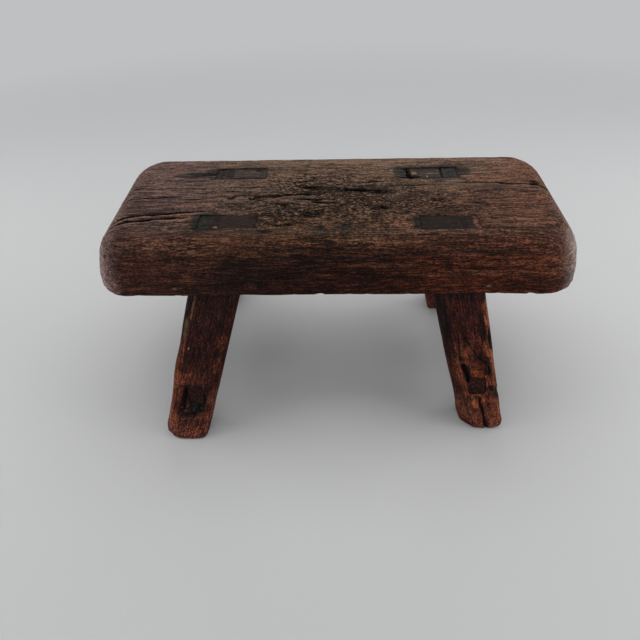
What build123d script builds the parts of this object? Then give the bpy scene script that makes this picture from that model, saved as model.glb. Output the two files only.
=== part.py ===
from build123d import *
import os
from math import copysign, radians, sin, sqrt

os.makedirs("parts", exist_ok=True)

# A low country stool: one thick plank on four splayed legs. Each leg's tenon runs up
# through the seat and is wedged at its outer end. At each end of the stool a stretcher
# joins the front leg to the back leg, with its tenons run through both and wedged too.
# The origin is on the floor under the middle of the seat. +X runs along the seat to the
# right, +Y to the back and +Z up. All sizes are in millimetres.

# Seat plank, worn round at its top edges and most at its two ends
seat_length = 400.0
seat_width = 165.0
seat_thickness = 50.0
seat_height = 187.0  # floor to top face
seat_corner = 34.0  # radius of the plan's corners
corner_wear = 16.0  # how much larger that is at the top where a corner is worn most
end_wear = 26.0  # how far the flat top stops short of each end
end_rise = 37.0  # height of that worn rounding, nearly the whole end
side_wear = 17.0  # the same for each long side
side_rise = 21.0
under_edge = 2.5  # worn edge round the underside
gouge_width = 7.0  # of the widest weathered gouge in the top
gouge_depth = 2.4  # of the deepest one

# Where the legs stand: how far their centre lines are set in from the ends and sides of
# the seat at the height of its top face, and how far they splay from there to the floor
end_overhang = 110.0
side_set_in = 31.0
splay_x = 50.0
splay_y = 53.5

# Legs, tapered in width and hand-cut, so none is quite square
leg_top_width = 43.5  # along X, at the seat's underside
leg_foot_width = 40.0
leg_depth = 32.0  # along Y, all the way down
foot_edge = 2.5  # worn edge round the sole of each foot
foot_wear = 15.0  # how far the most worn foot is cut back each way from its corner
foot_wear_rise = 100.0  # height at which that wear begins

# Through tenon of each leg, and its wedge
tenon_width = 36.5  # along X
tenon_depth = 22.0  # along Y
tenon_inset = 3.2  # how far it is set in from the leg's centre line, towards the middle
wedge_head = 11.0  # thickness of the wedge at the top face
wedge_length = 38.0
end_recess = 0.6  # end grain lies this far below the worn face round it

# Stretchers
stretcher_height = 48.0  # floor to centre line, about
stretcher_width = 20.0
stretcher_depth = 26.0  # upright
stretcher_edge = 3.0
rail_tenon_width = 14.0
rail_tenon_height = 16.0
rail_wedge_width = 11.0
rail_wedge_head = 8.5  # thickness at the leg's outer face
rail_wedge_tip = 2.5  # and at its inner face
rail_shift = 1.5  # how far to the right of the legs' centre lines the stretchers lie

# Fits
fit_gap = 0.1  # all round each tenon and wedge
overrun = 5.0  # how far a cut passes the faces that it opens

seat_underside = seat_height - seat_thickness
crown_base = seat_height - end_rise
top_reach_x = seat_length / 2 - end_overhang
top_reach_y = seat_width / 2 - side_set_in
foot_reach_x = top_reach_x + splay_x
foot_reach_y = top_reach_y + splay_y

# How far each corner of the plan is worn, in shares of corner_wear, in the order left
# front, right front, right back, left back
corner_shares = (0, 0.9, 0, 0)

# The main gouges that weather has opened along the grain of the top: where each runs from
# and to, in shares of the seat's half length and half width, then its width and depth, in
# shares of the values above
gouge_shares = (
    # two cracks, side by side, from the left end
    ((-0.92, -0.51), (-0.74, -0.41), 0.43, 0.83),
    ((-0.75, -0.42), (-0.61, -0.36), 0.35, 0.65),
    ((-0.925, -0.61), (-0.75, -0.51), 0.46, 0.95),
    ((-0.76, -0.51), (-0.6, -0.465), 0.32, 0.6),
    # a third, which runs on as hollows to the middle
    ((-0.915, -0.09), (-0.67, -0.03), 0.32, 0.55),
    ((-0.63, -0.11), (-0.42, 0), 0.5, 0.7),
    ((-0.4, -0.11), (-0.22, -0.025), 0.85, 0.9),
    ((-0.23, 0), (-0.08, -0.005), 0.43, 0.75),
    # the broken middle, from the back to the front
    ((-0.195, 0.275), (-0.13, 0.26), 0.5, 0.6),
    ((0.12, 0.255), (0.215, 0.27), 0.43, 0.75),
    ((-0.18, 0.17), (0.02, 0.12), 0.95, 0.75),
    ((0, 0.11), (0.25, 0.035), 0.92, 0.9),
    ((-0.15, -0.11), (-0.05, -0.12), 0.38, 0.75),
    ((-0.095, -0.17), (0, -0.2), 0.38, 0.8),
    ((-0.26, -0.19), (-0.18, -0.3), 0.57, 0.75),
    ((-0.16, -0.41), (-0.03, -0.35), 0.57, 0.85),
    ((0.145, -0.255), (0.225, -0.34), 0.97, 0.98),
    ((-0.26, -0.67), (-0.12, -0.6), 0.43, 0.65),
    # towards the right end
    ((0.285, 0.185), (0.46, 0.175), 0.24, 0.5),
    ((0.395, -0.16), (0.485, -0.145), 0.43, 0.6),
    ((0.52, 0.235), (0.76, 0.21), 0.32, 0.65),
    ((0.73, 0.19), (0.92, 0.155), 0.43, 0.8),
)

# Where each leg stands, in shares of those reaches, at the top face and at the floor.
# The signs say which corner it is, and the small differences are the maker's.
leg_shares = {
    "front_left": ((-0.96, -0.916), (-0.994, -0.995)),
    "front_right": ((0.998, -0.998), (0.954, -0.879)),
    "back_left": ((-0.94, 0.796), (-0.976, 0.996)),
    "back_right": ((0.958, 0.743), (0.893, 0.858)),
}

# Rounding of each leg's long edges, in shares of its depth, in the order left front,
# right front, right back, left back
edge_shares = {
    "front_left": (0.28, 0.2, 0.16, 0.16),
    "front_right": (0.27, 0.17, 0.16, 0.16),
    "back_left": (0.16, 0.16, 0.2, 0.22),
    "back_right": (0.16, 0.16, 0.22, 0.2),
}

# How far the left front corner of each front leg's foot has worn away, in shares of
# foot_wear and of foot_wear_rise
wear_shares = {"front_left": (0.9, 0.3), "front_right": (0.93, 0.95)}

# Heights of the two stretchers, in shares of stretcher_height
rail_shares = {"left": 0.94, "right": 0.98}

# Which face of the stretcher tenon the wedge bears on: 1 is the upper one, -1 the lower
wedge_sides = {"front_left": -1, "front_right": 1, "back_left": 1, "back_right": 1}


def leg_centre(leg, height):
    """Point of a leg's centre line at a height above the floor"""
    (top_x, top_y), (foot_x, foot_y) = leg_shares[leg]
    rise = height / seat_height
    x = foot_reach_x * foot_x * (1 - rise) + top_reach_x * top_x * rise
    y = foot_reach_y * foot_y * (1 - rise) + top_reach_y * top_y * rise
    return Vector(x, y, height)


def outward_x(leg):
    """1 for a leg at the right end of the seat and -1 for one at the left"""
    return copysign(1, leg_centre(leg, 0).X)


def outward_y(leg):
    """1 for a back leg and -1 for a front one"""
    return copysign(1, leg_centre(leg, 0).Y)


def raked_block(leg, bottom, top):
    """Block with flat faces that slants as a leg does: its front view meets its side view

    bottom and top each give a height, how far the block reaches there inwards and
    outwards along X from the leg's centre line, and its depth along Y."""
    side = outward_x(leg)
    with BuildPart() as block:
        with BuildSketch(Plane.XZ):
            with BuildLine():
                for height, inner, outer, depth in (bottom, top):
                    middle = leg_centre(leg, height).X
                    Line((middle - side * inner, height), (middle + side * outer, height))
            make_hull()
        extrude(amount=seat_length, both=True)
        with BuildSketch(Plane.YZ):
            with BuildLine():
                for height, inner, outer, depth in (bottom, top):
                    middle = leg_centre(leg, height).Y
                    Line((middle - depth / 2, height), (middle + depth / 2, height))
            make_hull()
        extrude(amount=seat_length, both=True, mode=Mode.INTERSECT)
    return block.part


def leg_level(height, width, edge):
    """One end of a raked block as wide as a leg, drawn in all round by an edge"""
    reach = width / 2 - edge
    return height, reach, reach, leg_depth - 2 * edge


def tenon_level(height, inner_gap, outer_gap, depth_gap):
    """One end of a raked block round a leg's tenon, with gaps beyond the tenon's faces"""
    inner = tenon_width / 2 + tenon_inset + inner_gap
    outer = tenon_width / 2 - tenon_inset + outer_gap
    return height, inner, outer, tenon_depth + 2 * depth_gap


def wedge_thickness(height):
    """Room between a leg's tenon and the outer end of its mortise, at a height"""
    return wedge_head * (height - seat_underside) / seat_thickness


def end_plane(leg, outset):
    """Plane parallel to a leg's front and back faces, facing away from the stool's middle

    It lies outset beyond the leg's centre line, measured level along Y."""
    foot = leg_centre(leg, 0)
    top = leg_centre(leg, seat_height)
    side = outward_y(leg)
    origin = foot + Vector(0, side * outset, 0)
    lean = (top.Y - foot.Y) / seat_height
    return Plane(origin=origin, x_dir=(side, 0, 0), z_dir=(0, side, -side * lean))


def rail_plane(end):
    """Upright plane square to a stretcher, at its middle, facing its front end"""
    height = stretcher_height * rail_shares[end]
    front = leg_centre(f"front_{end}", height)
    back = leg_centre(f"back_{end}", height)
    middle = (front + back) / 2 + Vector(rail_shift, 0, 0)
    return Plane(origin=middle, x_dir=(1, 0, 0), z_dir=front - back)


def rail_bar(end, width, height, edge, outset):
    """Bar along a stretcher's centre line, cut off parallel to the faces of both legs

    It stops outset beyond the centre lines of the two legs, or short of them if less
    than zero."""
    reach = leg_depth + foot_reach_y * 2
    with BuildPart() as bar:
        with BuildSketch(rail_plane(end)):
            if edge > 0:
                RectangleRounded(width, height, edge)
            else:
                Rectangle(width, height)
        extrude(amount=reach, both=True)
        for row in ("front", "back"):
            split(bisect_by=end_plane(f"{row}_{end}", outset), keep=Keep.BOTTOM)
    return bar.part


def rail_wedge(leg, gap, outset, inset):
    """Wedge on a stretcher tenon, from inset behind a leg's centre line to outset in front

    With a gap, it is the room that the wedge needs in the leg."""
    end = leg.split("_")[1]
    plane = rail_plane(end)
    along = plane.z_dir if leg.startswith("front") else -plane.z_dir
    height = stretcher_height * rail_shares[end]
    side = wedge_sides[leg]
    centre = leg_centre(leg, height) + Vector(rail_shift, 0, 0)
    slope = (rail_wedge_head - rail_wedge_tip) / leg_depth
    seat_line = rail_tenon_height / 2 + fit_gap - gap
    far = leg_depth / 2 + overrun
    middle = (rail_wedge_head + rail_wedge_tip) / 2 + 2 * gap
    corners = [
        (-far, side * seat_line),
        (far, side * seat_line),
        (far, side * (seat_line + middle + slope * far)),
        (-far, side * (seat_line + middle - slope * far)),
    ]
    upright = Plane(origin=centre, x_dir=along, z_dir=along.cross(Vector(0, 0, 1)))
    with BuildPart() as wedge:
        with BuildSketch(upright):
            with BuildLine():
                Polyline(*corners, close=True)
            make_face()
        extrude(amount=rail_wedge_width / 2 + gap, both=True)
        split(bisect_by=end_plane(leg, outset), keep=Keep.BOTTOM)
        split(bisect_by=end_plane(leg, -inset), keep=Keep.TOP)
    return wedge.part


def worn_corner(leg):
    """Plane that cuts the worn left front corner off a leg's foot, facing out of the leg"""
    wear = foot_wear * wear_shares[leg][0]
    rise = foot_wear_rise * wear_shares[leg][1]
    to_corner = Vector(-leg_foot_width / 2, -leg_depth / 2, 0)
    corner = leg_centre(leg, 0) + to_corner
    across = Vector(-wear, wear, 0)
    up = leg_centre(leg, rise) - leg_centre(leg, 0) - Vector(wear, 0, 0)
    return Plane(origin=corner + Vector(wear, 0, 0), x_dir=across, z_dir=up.cross(across))


def worn_inset(height, wear, rise):
    """How far the plank's side draws in at a height: a quarter ellipse, wear by rise"""
    climb = max(0, height - seat_height + rise) / rise
    return wear * (1 - sqrt(max(0, 1 - climb**2)))


def plank_slice(height):
    """Level outline of the plank, drawn in by the wear at that height"""
    end_inset = worn_inset(height, end_wear, end_rise)
    side_inset = worn_inset(height, side_wear, side_rise)
    x = seat_length / 2 - end_inset
    y = seat_width / 2 - side_inset
    corner = seat_corner - (end_inset + side_inset) / 2
    climb = max(0, height - crown_base) / end_rise
    radii = [corner + corner_wear * climb * share for share in corner_shares]
    with BuildSketch(Plane.XY.offset(height)) as outline:
        with BuildLine():
            FilletPolyline((-x, -y), (x, -y), (x, y), (-x, y), radius=radii, close=True)
        make_face()
    return outline.sketch


def gouge(start, stop, width, depth):
    """Boat-shaped cut in the top, from start to stop: a V, widest and deepest halfway"""
    bow, stern = [
        Vector(x * seat_length / 2, y * seat_width / 2, seat_height) for x, y in (start, stop)
    ]
    along = stern - bow
    upright = Plane(origin=(bow + stern) / 2, x_dir=along.cross(Vector(0, 0, 1)), z_dir=along)
    with BuildPart() as boat:
        with BuildSketch(upright) as middle:
            with BuildLine():
                Polyline((-width, depth), (width, depth), (0, -depth), close=True)
            make_face()
        loft(sections=[Vertex(*bow), middle.sketch, Vertex(*stern)], ruled=True)
    return boat.part


# Seat: the plank's lower part is straight, and its worn crown is a ruled loft through level
# outlines, closer together towards the top, where the sides turn in
crown_angles = range(0, 91, 9)
crown = [plank_slice(crown_base + end_rise * sin(radians(angle))) for angle in crown_angles]

with BuildPart() as seat:
    extrude(plank_slice(seat_underside), amount=seat_thickness - end_rise)
    chamfer(seat.faces().sort_by(Axis.Z)[0].edges(), under_edge)
    loft(sections=crown, ruled=True)
    # raked mortises: each holds a tenon, and widens upwards at its outer end
    for leg in leg_shares:
        mouths = []
        for height in (seat_underside - overrun, seat_height + overrun):
            mouths.append(tenon_level(height, fit_gap, fit_gap + wedge_thickness(height), fit_gap))
        add(raked_block(leg, *mouths), mode=Mode.SUBTRACT)
    for start, stop, width_share, depth_share in gouge_shares:
        cut = gouge(start, stop, gouge_width * width_share, gouge_depth * depth_share)
        add(cut, mode=Mode.SUBTRACT)
seat.part.label = "seat"
export_step(seat.part, "parts/seat.step")

# Legs: each tapers from the seat's underside to the floor, and its tenon carries on
# along the same slant to the seat's top face. A mortise near the foot takes the
# stretcher's tenon and wedge.
for leg in leg_shares:
    end = leg.split("_")[1]
    sole = leg_level(0, leg_foot_width, 0)
    shoulder = leg_level(seat_underside, leg_top_width, 0)
    worn_sole = leg_level(0, leg_foot_width, foot_edge)
    flare = leg_level(seat_underside, leg_foot_width, foot_edge - seat_underside)
    tenon = [tenon_level(height, 0, 0, 0) for height in (seat_underside, seat_height - end_recess)]
    with BuildPart() as limb:
        add(raked_block(leg, sole, shoulder))
        uprights = limb.edges().filter_by(lambda edge: edge.bounding_box().size.Z > leg_depth)
        front, back = uprights.sort_by(Axis.Y)[:2], uprights.sort_by(Axis.Y)[2:]
        corners = front.sort_by(Axis.X) + back.sort_by(Axis.X, reverse=True)
        for corner, share in zip(corners, edge_shares[leg]):
            fillet(corner, leg_depth * share)
        # worn foot: the edge round its sole, and the corner that has gone from a front leg
        add(raked_block(leg, worn_sole, flare), mode=Mode.INTERSECT)
        if leg in wear_shares:
            split(bisect_by=worn_corner(leg), keep=Keep.BOTTOM)
        add(raked_block(leg, *tenon))
        # stretcher mortise
        hole_width = rail_tenon_width + 2 * fit_gap
        hole_height = rail_tenon_height + 2 * fit_gap
        hole_reach = leg_depth / 2 + overrun
        add(rail_bar(end, hole_width, hole_height, 0, hole_reach), mode=Mode.SUBTRACT)
        add(rail_wedge(leg, fit_gap, hole_reach, hole_reach), mode=Mode.SUBTRACT)
    limb.part.label = f"{leg}_leg"
    export_step(limb.part, f"parts/{leg}_leg.step")

# Seat wedges: one at the outer end of each leg's tenon, thick end up
for leg in leg_shares:
    ends = []
    for height in (seat_height - wedge_length, seat_height - end_recess):
        inner_gap = -tenon_width - fit_gap
        ends.append(tenon_level(height, inner_gap, wedge_thickness(height), 0))
    with BuildPart() as seat_wedge:
        add(raked_block(leg, *ends))
    seat_wedge.part.label = f"{leg}_seat_wedge"
    export_step(seat_wedge.part, f"parts/{leg}_seat_wedge.step")

# Stretchers: a bar whose shoulders bear on the legs' inner faces, and a thinner tenon
# that runs on through both legs, its ends cut to their slope
for end in rail_shares:
    with BuildPart() as stretcher:
        add(rail_bar(end, stretcher_width, stretcher_depth, stretcher_edge, -leg_depth / 2))
        add(rail_bar(end, rail_tenon_width, rail_tenon_height, 0, leg_depth / 2 - end_recess))
    stretcher.part.label = f"{end}_stretcher"
    export_step(stretcher.part, f"parts/{end}_stretcher.step")

# Stretcher wedges: one in each leg, thick end outwards
for leg in leg_shares:
    with BuildPart() as rail_key:
        add(rail_wedge(leg, 0, leg_depth / 2 - end_recess, leg_depth / 2 - fit_gap))
    rail_key.part.label = f"{leg}_stretcher_wedge"
    export_step(rail_key.part, f"parts/{leg}_stretcher_wedge.step")
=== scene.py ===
import bmesh
import bpy
import math
import numpy as np
from mathutils import Matrix, Vector, noise


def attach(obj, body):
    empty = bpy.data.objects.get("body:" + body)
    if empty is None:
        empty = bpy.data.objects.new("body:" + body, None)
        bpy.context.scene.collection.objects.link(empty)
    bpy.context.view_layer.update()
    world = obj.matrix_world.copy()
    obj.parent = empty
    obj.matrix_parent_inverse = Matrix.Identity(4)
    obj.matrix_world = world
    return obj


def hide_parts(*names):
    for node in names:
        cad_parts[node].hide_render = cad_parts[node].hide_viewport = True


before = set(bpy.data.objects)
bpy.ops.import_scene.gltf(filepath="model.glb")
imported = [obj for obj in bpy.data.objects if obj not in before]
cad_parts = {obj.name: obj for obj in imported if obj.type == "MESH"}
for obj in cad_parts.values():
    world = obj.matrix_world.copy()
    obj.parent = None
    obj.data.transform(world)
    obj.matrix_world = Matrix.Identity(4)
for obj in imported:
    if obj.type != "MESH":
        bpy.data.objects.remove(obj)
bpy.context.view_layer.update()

# Seat. One thick wooden plank, hewn flat and worn round at its edges. Its top has weathered
# along the grain: the middle is broken into flakes and gouges, drying cracks run in from
# the left end, and the right half is smoother. The legs' tenons come up through it.
scene = bpy.context.scene
MM = 0.001
plank_top = 187.0
plank_under = 137.0
side_turns = (plank_under + 8, plank_under + 22)  # where its sides begin to turn into its top
joints_within = (150, 76)  # the four joints lie nearer to the middle than this, each way
flat_within = (168, 65)  # and the flat of the top nearer than this
joint_depth = 8  # how far down a joint its walls wear with the top
broken_middle, broken_reach = (12, -10), (92, 46)
fine_front, fine_ends = -80, 196  # its front and its ends have finer cells beyond these
lower_edge, back_rim, left_corner, right_corner = 1.0, 0.9, 2.4, 0.9  # how proud they stand
corner_place = (196, -79)  # of its right front corner, and its left one on the other side
chatter_middle, chatter_reach, chatter_depth = (143, -76), (13, 8), 0.5  # where a blade skipped

# Cracks along the grain, in millimetres: course, width and depth
plank_cracks = [
    # two from the left end, side by side, and a faint third
    ([(-198, -51), (-184, -44), (-177, -41), (-170, -38), (-163, -35.5), (-150, -34), (-138, -32.5),
      (-128, -31), (-118, -30), (-104, -28.5)], 1.3, 3),
    ([(-199, -59), (-183, -51), (-176, -48), (-166, -45), (-158, -44.5), (-150, -42), (-140, -41),
      (-130, -41), (-121, -38.5)], 1.3, 3),
    ([(-196, -63), (-184, -59), (-174, -57), (-162, -58)], 0.9, 1),
    # one along the middle line, which opens into the broken part
    ([(-190, -9), (-172, -6), (-160, -5), (-150, -4), (-143, -3), (-134, -2.5)], 0.9, 1.6),
    ([(-126, -9), (-114, -7.5), (-104, -5.5), (-96, -4), (-84, -3)], 1.1, 2),
    ([(-98, 6), (-84, 5), (-72, 2.5), (-62, 2)], 0.8, 1.2),
    ([(-62, -5.5), (-50, -3.5), (-44, 0), (-30, 0), (-18, -0.5)], 1.5, 2.6),
    ([(-192, 12), (-184, 12.5), (-173, 13.5)], 1, 1.8),
    # short ones in the broken part
    ([(22, 20.6), (32, 21.5), (44, 22.5)], 1.3, 2),
    ([(-31, -8.6), (-20, -9.6), (-8, -9.4)], 1.4, 2.4),
    ([(-20, -14), (-10, -15.8), (2, -16)], 1.5, 2.4),
    ([(6, -8), (14, -9), (24, -8.6)], 0.9, 1.2),
    ([(11, 36.5), (20, 37), (34, 37.5)], 0.8, 1),
    ([(5, -62), (9, -55), (13, -49)], 1, 1),
    ([(20, -50), (24, -57), (28, -65)], 0.8, 1),
    ([(35, -44), (38, -52), (41, -60)], 0.8, 1),
    # straight ones at the right
    ([(44, 14.5), (60, 15.2), (76, 14.5), (94, 15)], 0.8, 1.4),
    ([(45, -25), (60, -24.5), (76, -23.6), (110, -23)], 0.7, 1),
    ([(104, 19.5), (120, 19), (140, 18.5), (152, 17)], 1, 2),
    ([(146, 15.6), (158, 14.5), (172, 14.3), (181, 11), (190, 8), (199, 4)], 1.2, 2.4),
    ([(112, -60), (130, -60.6)], 0.7, 1),
    ([(108, -55.5), (122, -55)], 0.7, 0.8),
    ([(-106, 31.6), (-92, 32), (-78, 32.6), (-66, 32.8)], 0.9, 1.4),
    ([(80, 50.5), (96, 50.5), (112, 51)], 0.8, 1),
    ([(118, -62), (118, -74), (117, -81)], 0.7, 0.7),
]
# Deep hollows in the top: place, half length, half width and depth
plank_hollows = [
    (37, -25, 8, 4.4, 3.2), (-68, -8, 10, 4.2, 2.6), (-91, -5.5, 6, 4.2, 2.2), (-20, 12, 13, 4, 1.9),
    (2, 10, 15, 4.6, 1.9), (22, 7.5, 13, 4.8, 2.1), (38, 3.5, 12, 3.4, 2.7), (-22, -34.5, 11, 3, 2.5),
    (-11, -31, 6, 2.6, 2), (-45, -17, 8, 3.2, 2.2), (-40, -24, 7, 2.6, 2.1), (-42, -54, 10, 2.2, 1.9),
    (-29, -50, 5, 2, 1.7), (8, -56, 5, 5.5, 1.5), (-32, 22, 8, 2, 1.7), (12, 18, 6, 2, 1.5),
    (-19, 33.5, 2.4, 1.5, 1.4), (4.5, 34, 2.2, 4.5, 1.2), (14, 37, 2.5, 3.5, 1.2),
    (28.5, 32, 3.4, 1.4, 1.3), (20, 28, 1.6, 1.4, 1), (88, -13, 9, 2, 1.7), (66, -3.5, 6, 1.7, 1.5),
    (70, -10, 2, 1.4, 1.2), (121, -19.5, 6, 2.2, 1.8), (132, -12, 4.5, 1.8, 1.2),
    (130, -65.5, 3.6, 2.8, 2), (-117, 10, 2.2, 1.7, 1.6), (-148, 50, 3.4, 1.4, 1),
    (127, 56.5, 3.4, 2, 1.5), (163, 25.5, 3, 2, 1.3), (156, -25, 4.5, 2, 1), (177, 15, 6, 6, 1.8),
    (6, -69.5, 3.4, 2.4, 1.7), (-57, -64, 7, 3.4, 1.7), (-12, -59, 2.8, 3.4, 1.5),
    (-128, -13, 3.4, 2, 1.3), (-178, 60, 4, 1.6, 1), (146, 47, 5, 1.6, 0.9),
    (-112, 40, 9, 3.2, 1.6), (-128, 38, 13, 1.8, 1.6), (62, 47, 3.4, 2.2, 2.2),
]
# A dark streak of the grain, across and up, where the top bends down to the front
front_streak = [
    (152, 174.5), (100, 176.5), (58, 176), (26, 173), (-6, 172), (-61, 171), (-99, 164), (-124, 158)
]
# Patches of the surface: place (on the top where it gives no height), reach along each axis,
# and strength from 0 to 1. Oil has turned black, bare wood is orange, and worn wood is pale.
dark_strip = (65.9, -50.6, 3, 10.6, 8, 1)  # beside the front right tenon
oil_patches = [
    (37, -25, 7, 3.6, 8, 0.9), (8, -56, 4.6, 4.8, 8, 0.8), (-12, -59, 3, 3, 8, 0.7),
    (-57, -64, 7, 3, 8, 0.7), (-45, -17, 8, 2.6, 8, 0.6), (18, -68, 186, 44, 8, 8, 0.16),
    (-107, -47, 12, 17, 8, 1), (-113, 41, 10, 10, 8, 1), (-124, 39, 15, 7, 8, 1),
    (-138, 38, 13, 4.2, 8, 1), (-103, 48, 12, 6, 8, 0.7), (116, 43, 8, 9, 8, 0.9),
    (60, 40, 6, 13, 8, 0.9), (90, 52, 34, 3.4, 8, 0.7), (78, 28, 30, 2.6, 8, 0.6),
    (-84, 53, 24, 2.4, 8, 0.6), (-84, 30, 24, 2, 8, 0.6), (102, 25, 16, 4, 8, 0.5),
    (88, -62, 25, 1.6, 8, 0.8), (100, -28, 22, 6, 8, 0.45), (8, 9, 36, 8, 8, 0.55),
    (40, 3, 14, 4, 8, 0.7), (130, 8, 20, 9, 8, 0.4), (118, -18, 9, 4, 8, 0.6), (-130, 24, 16, 9, 8, 0.3),
    (-42, 52, 18, 12, 8, 0.22), (78, 15, 34, 3, 8, 0.4), (177, 14, 184, 7, 8, 8, 0.6),
    (178, -42, 184, 5, 9, 9, 0.5), (-72, -82, 160, 22, 9, 11, 1), (-84, -82, 150, 30, 9, 9, 0.65),
    (-40, -80, 164, 30, 9, 6, 0.5), (-130, -82, 144, 26, 9, 6, 0.5), (-140, -80, 174, 30, 9, 4, 0.4),
    (18, -80, 170, 36, 9, 2, 0.6), (-18, -78, 178, 26, 7, 2, 0.5), (150, -82, 146, 40, 9, 3, 0.4),
    (10, -82, 142, 60, 9, 4, 0.4),
]
bare_patches = [
    (54, -54, 9, 5.5, 5, 0.7), (46, -50, 6, 2.4, 5, 0.35), (-126, -40, 9, 6, 5, 0.4),
    (-151, 52, 4, 9, 6, 0.35), (12, 50, 14, 5, 5, 0.3), (-115, -19, 16, 6, 5, 0.18),
    (-68, -82, 145.5, 4, 6, 1.6, 0.7), (150, -45, 34, 14, 9, 0.3), (165, -12, 18, 10, 9, 0.4),
    (134, 28, 24, 4, 5, 0.4), (120, -82, 158, 70, 9, 3, 0.3), (60, -82, 166, 60, 9, 2.4, 0.25),
    (176, 38, 184, 8, 16, 9, 0.3), (-132, -70, 182, 44, 12, 14, 0.24), (-60, -74, 180, 40, 9, 7, 0.14),
    (130, -76, 176, 50, 9, 8, 0.12), (150, -82, 167, 40, 9, 3, 0.3), (-140, -82, 166, 30, 9, 3.4, 0.15),
    (-105, -82, 168, 18, 9, 3, 0.2),
]
worn_patches = [
    (62, -36.5, 1.6, 1.6, 3, 0.7), (-104.5, 45.5, 2.2, 1.6, 3, 0.5), (-180, -80, 148, 1.3, 6, 1.1, 0.8),
    (-131, -82.5, 145, 1.2, 4, 1, 0.7), (171, -82, 151, 1.2, 6, 1.1, 0.7),
    (-27, -82, 162, 1.2, 4, 0.9, 0.6), (124, -82, 145, 1.8, 4, 0.8, 0.6), (16, -44.5, 1.2, 1.2, 3, 0.7),
    (-34, 25.5, 5, 1.4, 3, 0.5), (12, 19.8, 5, 1, 3, 0.5), (-9, -12.5, 10, 1.6, 3, 0.4),
    (22, -41, 4, 1.4, 3, 0.4), (64, 27, 6, 1.6, 3, 0.5), (104, 22, 8, 1.4, 3, 0.5),
    (78, 12.4, 22, 0.9, 3, 0.4), (-137, -58, 2.2, 4, 4, 0.4), (165, 16.5, 9, 1, 4, 0.5),
    (-6, 66, 60, 4, 6, 0.15),
]
# Dirt in the top round each joint: the joint's left, right, front and back, how far the
# dirt reaches and how strong it is
joint_dirt = [
    (-113, -65, -57, -37, 2.6, 1), (65, 115, -61, -41, 1.2, 0.8),
    (-107, -66, 32, 52, 2.6, 0.9), (62, 112, 29, 50, 3, 1),
]
# Shades of its orange wood: in its pores, its dark, middle and light grain
orange_shades = ((28, 15, 10), (58, 36, 27), (86, 56, 42), (138, 98, 76))
chip_colour = (134, 108, 88)
worn_and_highlight_colour = (150, 122, 100)
crack_dirt_and_shade = (12, 8, 6)
heart_line = (0, 16, 70)  # the middle of the growth rings that show at its ends
rings_per_mm = 0.28


def smooth(low, high, value):
    """0 at low, 1 at high and an even rise between"""
    share = np.clip((value - low) / (high - low), 0, 1)
    return share * share * (3 - 2 * share)


def noise_at(points, size, seed=0.0):
    """Smooth random values from about -1 to 1, in patches of a size along each axis"""
    spread = points / np.array(size) + seed
    return np.array([noise.noise(point) for point in spread.tolist()])


def falling_off(points, middle, reach, power):
    """1 at a middle, and less and less beyond a reach along each axis"""
    share = (points - middle) / reach
    return np.exp(-(share[:, 0] ** power)) * np.exp(-(share[:, 1] ** power))


def flakes_at(points, size, seed=0.0):
    """Flakes of broken grain: each one's height from 0 to 1, and how near its rim lies"""
    spread = points / np.array(size) + seed
    height = np.empty(len(points))
    rim = np.empty(len(points))
    for index, point in enumerate(spread.tolist()):
        reach, centres = noise.voronoi(point)
        height[index] = noise.cell(centres[0] * 7.3)
        rim[index] = reach[1] - reach[0]
    return height, rim


def along_course(points, course):
    """Distance of each point from a course, on which side it lies, and its share of the way"""
    best = np.full(len(points), np.inf)
    side = np.zeros(len(points))
    share = np.zeros(len(points))
    spans = len(course) - 1
    for index in range(spans):
        start = np.array(course[index], float)
        step = np.array(course[index + 1], float) - start
        way = np.clip(((points - start) @ step) / (step @ step), 0, 1)
        off = points - start - way[:, None] * step
        gap = np.linalg.norm(off, axis=1)
        nearer = gap < best
        best[nearer] = gap[nearer]
        side[nearer] = (off[:, 1] * step[0] - off[:, 0] * step[1])[nearer] / np.linalg.norm(step)
        share[nearer] = (index + way[nearer]) / spans
    return best, side, share


def patches_at(points, patches, ragged):
    """How strongly each point lies in any of some patches, with ragged edges"""
    cover = np.zeros(len(points))
    for *place, along, across, up, strength in patches:
        place = (*place, plank_top)[:3]
        away = (np.abs((points - place) / (along, across, up)) ** 3).sum(axis=1)
        cover = np.maximum(cover, strength * smooth(1.5, 0.5, away + ragged))
    return cover


def copy_in_cells(name, node, squeeze, depth):
    """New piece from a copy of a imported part, in even cells that are long along the grain

    Its crisp edges stay. Cells are halved each time that depth goes up by 1."""
    shape = bmesh.new()
    shape.from_mesh(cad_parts[node].data)
    bmesh.ops.remove_doubles(shape, verts=shape.verts, dist=1e-6)
    bmesh.ops.scale(shape, vec=squeeze, verts=shape.verts)
    rough = bpy.data.meshes.new(name)
    shape.to_mesh(rough)
    shape.free()
    piece = bpy.data.objects.new(name, rough)
    scene.collection.objects.link(piece)
    cells = piece.modifiers.new("cells", "REMESH")
    cells.mode = "SHARP"
    cells.octree_depth = depth
    cells.use_remove_disconnected = False
    view = bpy.context.evaluated_depsgraph_get()
    mesh = bpy.data.meshes.new_from_object(piece.evaluated_get(view))
    piece.modifiers.clear()
    piece.data = mesh
    bpy.data.meshes.remove(rough)
    mesh.name = name
    mesh.transform(Matrix.Diagonal((1 / squeeze[0], 1 / squeeze[1], 1 / squeeze[2], 1)))
    mesh.polygons.foreach_set("use_smooth", [True] * len(mesh.polygons))
    return piece


def halve_cells(mesh, wanted):
    """Splits each cell whose centre, in millimetres, and normal are wanted into four"""
    shape = bmesh.new()
    shape.from_mesh(mesh)
    edges = {edge for face in shape.faces if wanted(face.calc_center_median() / MM, face.normal)
             for edge in face.edges}
    bmesh.ops.subdivide_edges(shape, edges=list(edges), cuts=1, use_grid_fill=True)
    shape.to_mesh(mesh)
    shape.free()


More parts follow.
